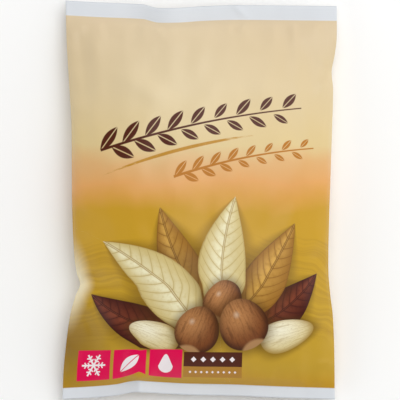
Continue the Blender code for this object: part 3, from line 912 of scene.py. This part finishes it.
def frozen_flesh():
    """Frozen mushroom flesh, cut with a blade: pale cream, matt with frost, and faintly fibrous.

    Real fibres are about 0.3 mm wide. They are drawn 1 to 3 mm wide, because finer ones would only shimmer.
    """
    made = bpy.data.materials.new("frosted_mushroom_flesh")
    made.use_nodes = True
    tree = made.node_tree
    shader = tree.nodes["Principled BSDF"]
    place = add(tree, "TexCoord", out=3)
    fibres = add(tree, "Mapping", {"Vector": place, "Scale": (900, 90, 300)})
    fibres = add(tree, "TexNoise", {"Vector": fibres, "Scale": 1.0, "Detail": 3.0})
    frost = add(tree, "TexNoise", {"Vector": place, "Scale": 160.0, "Detail": 5.0})
    flesh = add(tree, "Mix", {0: fibres, 6: FLESH, 7: PALE_FLESH}, out=2, data_type="RGBA")
    flesh = lay_ink(tree, flesh, FROST, frost, 0.5, 0.1, 0.7)
    tree.links.new(flesh, shader.inputs["Base Color"])
    shader.inputs["Roughness"].default_value = 0.7
    raised = add(tree, "Bump", {"Height": frost, "Strength": 0.4, "Distance": 0.0005})
    tree.links.new(raised, shader.inputs["Normal"])
    return made


# The studio, in metres and watts.
TABLE_SIZE = 6.0
BELOW_BAG = 0.0002
LAMPS = [  # (name, place, size, power)
    ("key", (0.5, 0.6, 1.8), 2.2, 35.2), ("left_strip", (-1.15, -0.55, 0.75), 0.8, 2.2),
    ("right_strip", (1.3, -0.5, 0.65), 0.9, 2),
]
LAMP_AIM = (0, 0, 0.03)
HORIZON = 1.05
OVERHEAD = 0.14
CAMERA_X = 0.0004
CAMERA_HEIGHT = 3.0
SHARP_HEIGHT = 0.016  # above the table, where one pixel is PIXEL millimetres wide
PIXEL = 0.879
PICTURE_SIDE = 400
SENSOR = 36.0  # in millimetres


def make_table():
    """The table, wide enough to fill any view."""
    bpy.ops.mesh.primitive_plane_add(size=TABLE_SIZE, location=(0, 0, -BELOW_BAG))
    table = bpy.context.object
    table.name = "table"
    table.data.materials.append(table_top())


def make_light(name, place, size, power):
    """One soft square lamp that points at the bag."""
    data = bpy.data.lights.new(name, "AREA")
    data.size = size
    data.energy = power
    lamp = bpy.data.objects.new(name, data)
    lamp.location = place
    lamp.rotation_euler = (Vector(LAMP_AIM) - Vector(place)).to_track_quat("-Z", "Y").to_euler()
    bpy.context.scene.collection.objects.link(lamp)


def make_camera():
    """Straight above the bag, far away with a long lens."""
    data = bpy.data.cameras.new("camera")
    data.sensor_width = SENSOR
    data.lens = SENSOR * (CAMERA_HEIGHT - SHARP_HEIGHT) / (PICTURE_SIDE * PIXEL * MM)
    camera = bpy.data.objects.new("camera", data)
    camera.location = (CAMERA_X, 0.0, CAMERA_HEIGHT)
    bpy.context.scene.collection.objects.link(camera)
    bpy.context.scene.camera = camera


def light_studio():
    """A pale room, bright at the horizon and dark overhead, so that the film's top keeps its colour."""
    world = bpy.data.worlds.new("studio")
    world.use_nodes = True
    tree = world.node_tree
    up = add(tree, "SeparateXYZ", {0: add(tree, "TexCoord")}, out=2)
    strength = add(tree, "MapRange", {0: up, 1: 0.0, 2: 0.8, 3: HORIZON, 4: OVERHEAD},
                   interpolation_type="SMOOTHSTEP")
    tree.nodes["Background"].inputs["Color"].default_value = (1.0, 1.0, 1.0, 1.0)
    tree.links.new(strength, tree.nodes["Background"].inputs["Strength"])
    bpy.context.scene.world = world
    bpy.context.scene.view_settings.view_transform = "Standard"
    for name, place, size, power in LAMPS:
        make_light(name, place, size, power)


def main():
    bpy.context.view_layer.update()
    make_camera()
    light_studio()
    make_table()
    film = make_film(film_laminate())
    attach(film, "root")
    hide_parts("film_bag")
    flesh = frozen_flesh()
    for name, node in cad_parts.items():
        if name.startswith("slice_"):
            for slot in node.material_slots:
                slot.material = flesh


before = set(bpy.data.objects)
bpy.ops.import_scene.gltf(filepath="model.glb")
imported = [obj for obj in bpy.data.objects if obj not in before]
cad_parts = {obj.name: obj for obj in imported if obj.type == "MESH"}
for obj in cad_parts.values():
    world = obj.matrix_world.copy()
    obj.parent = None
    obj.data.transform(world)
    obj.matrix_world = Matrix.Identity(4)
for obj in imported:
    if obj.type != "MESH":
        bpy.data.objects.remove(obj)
main()
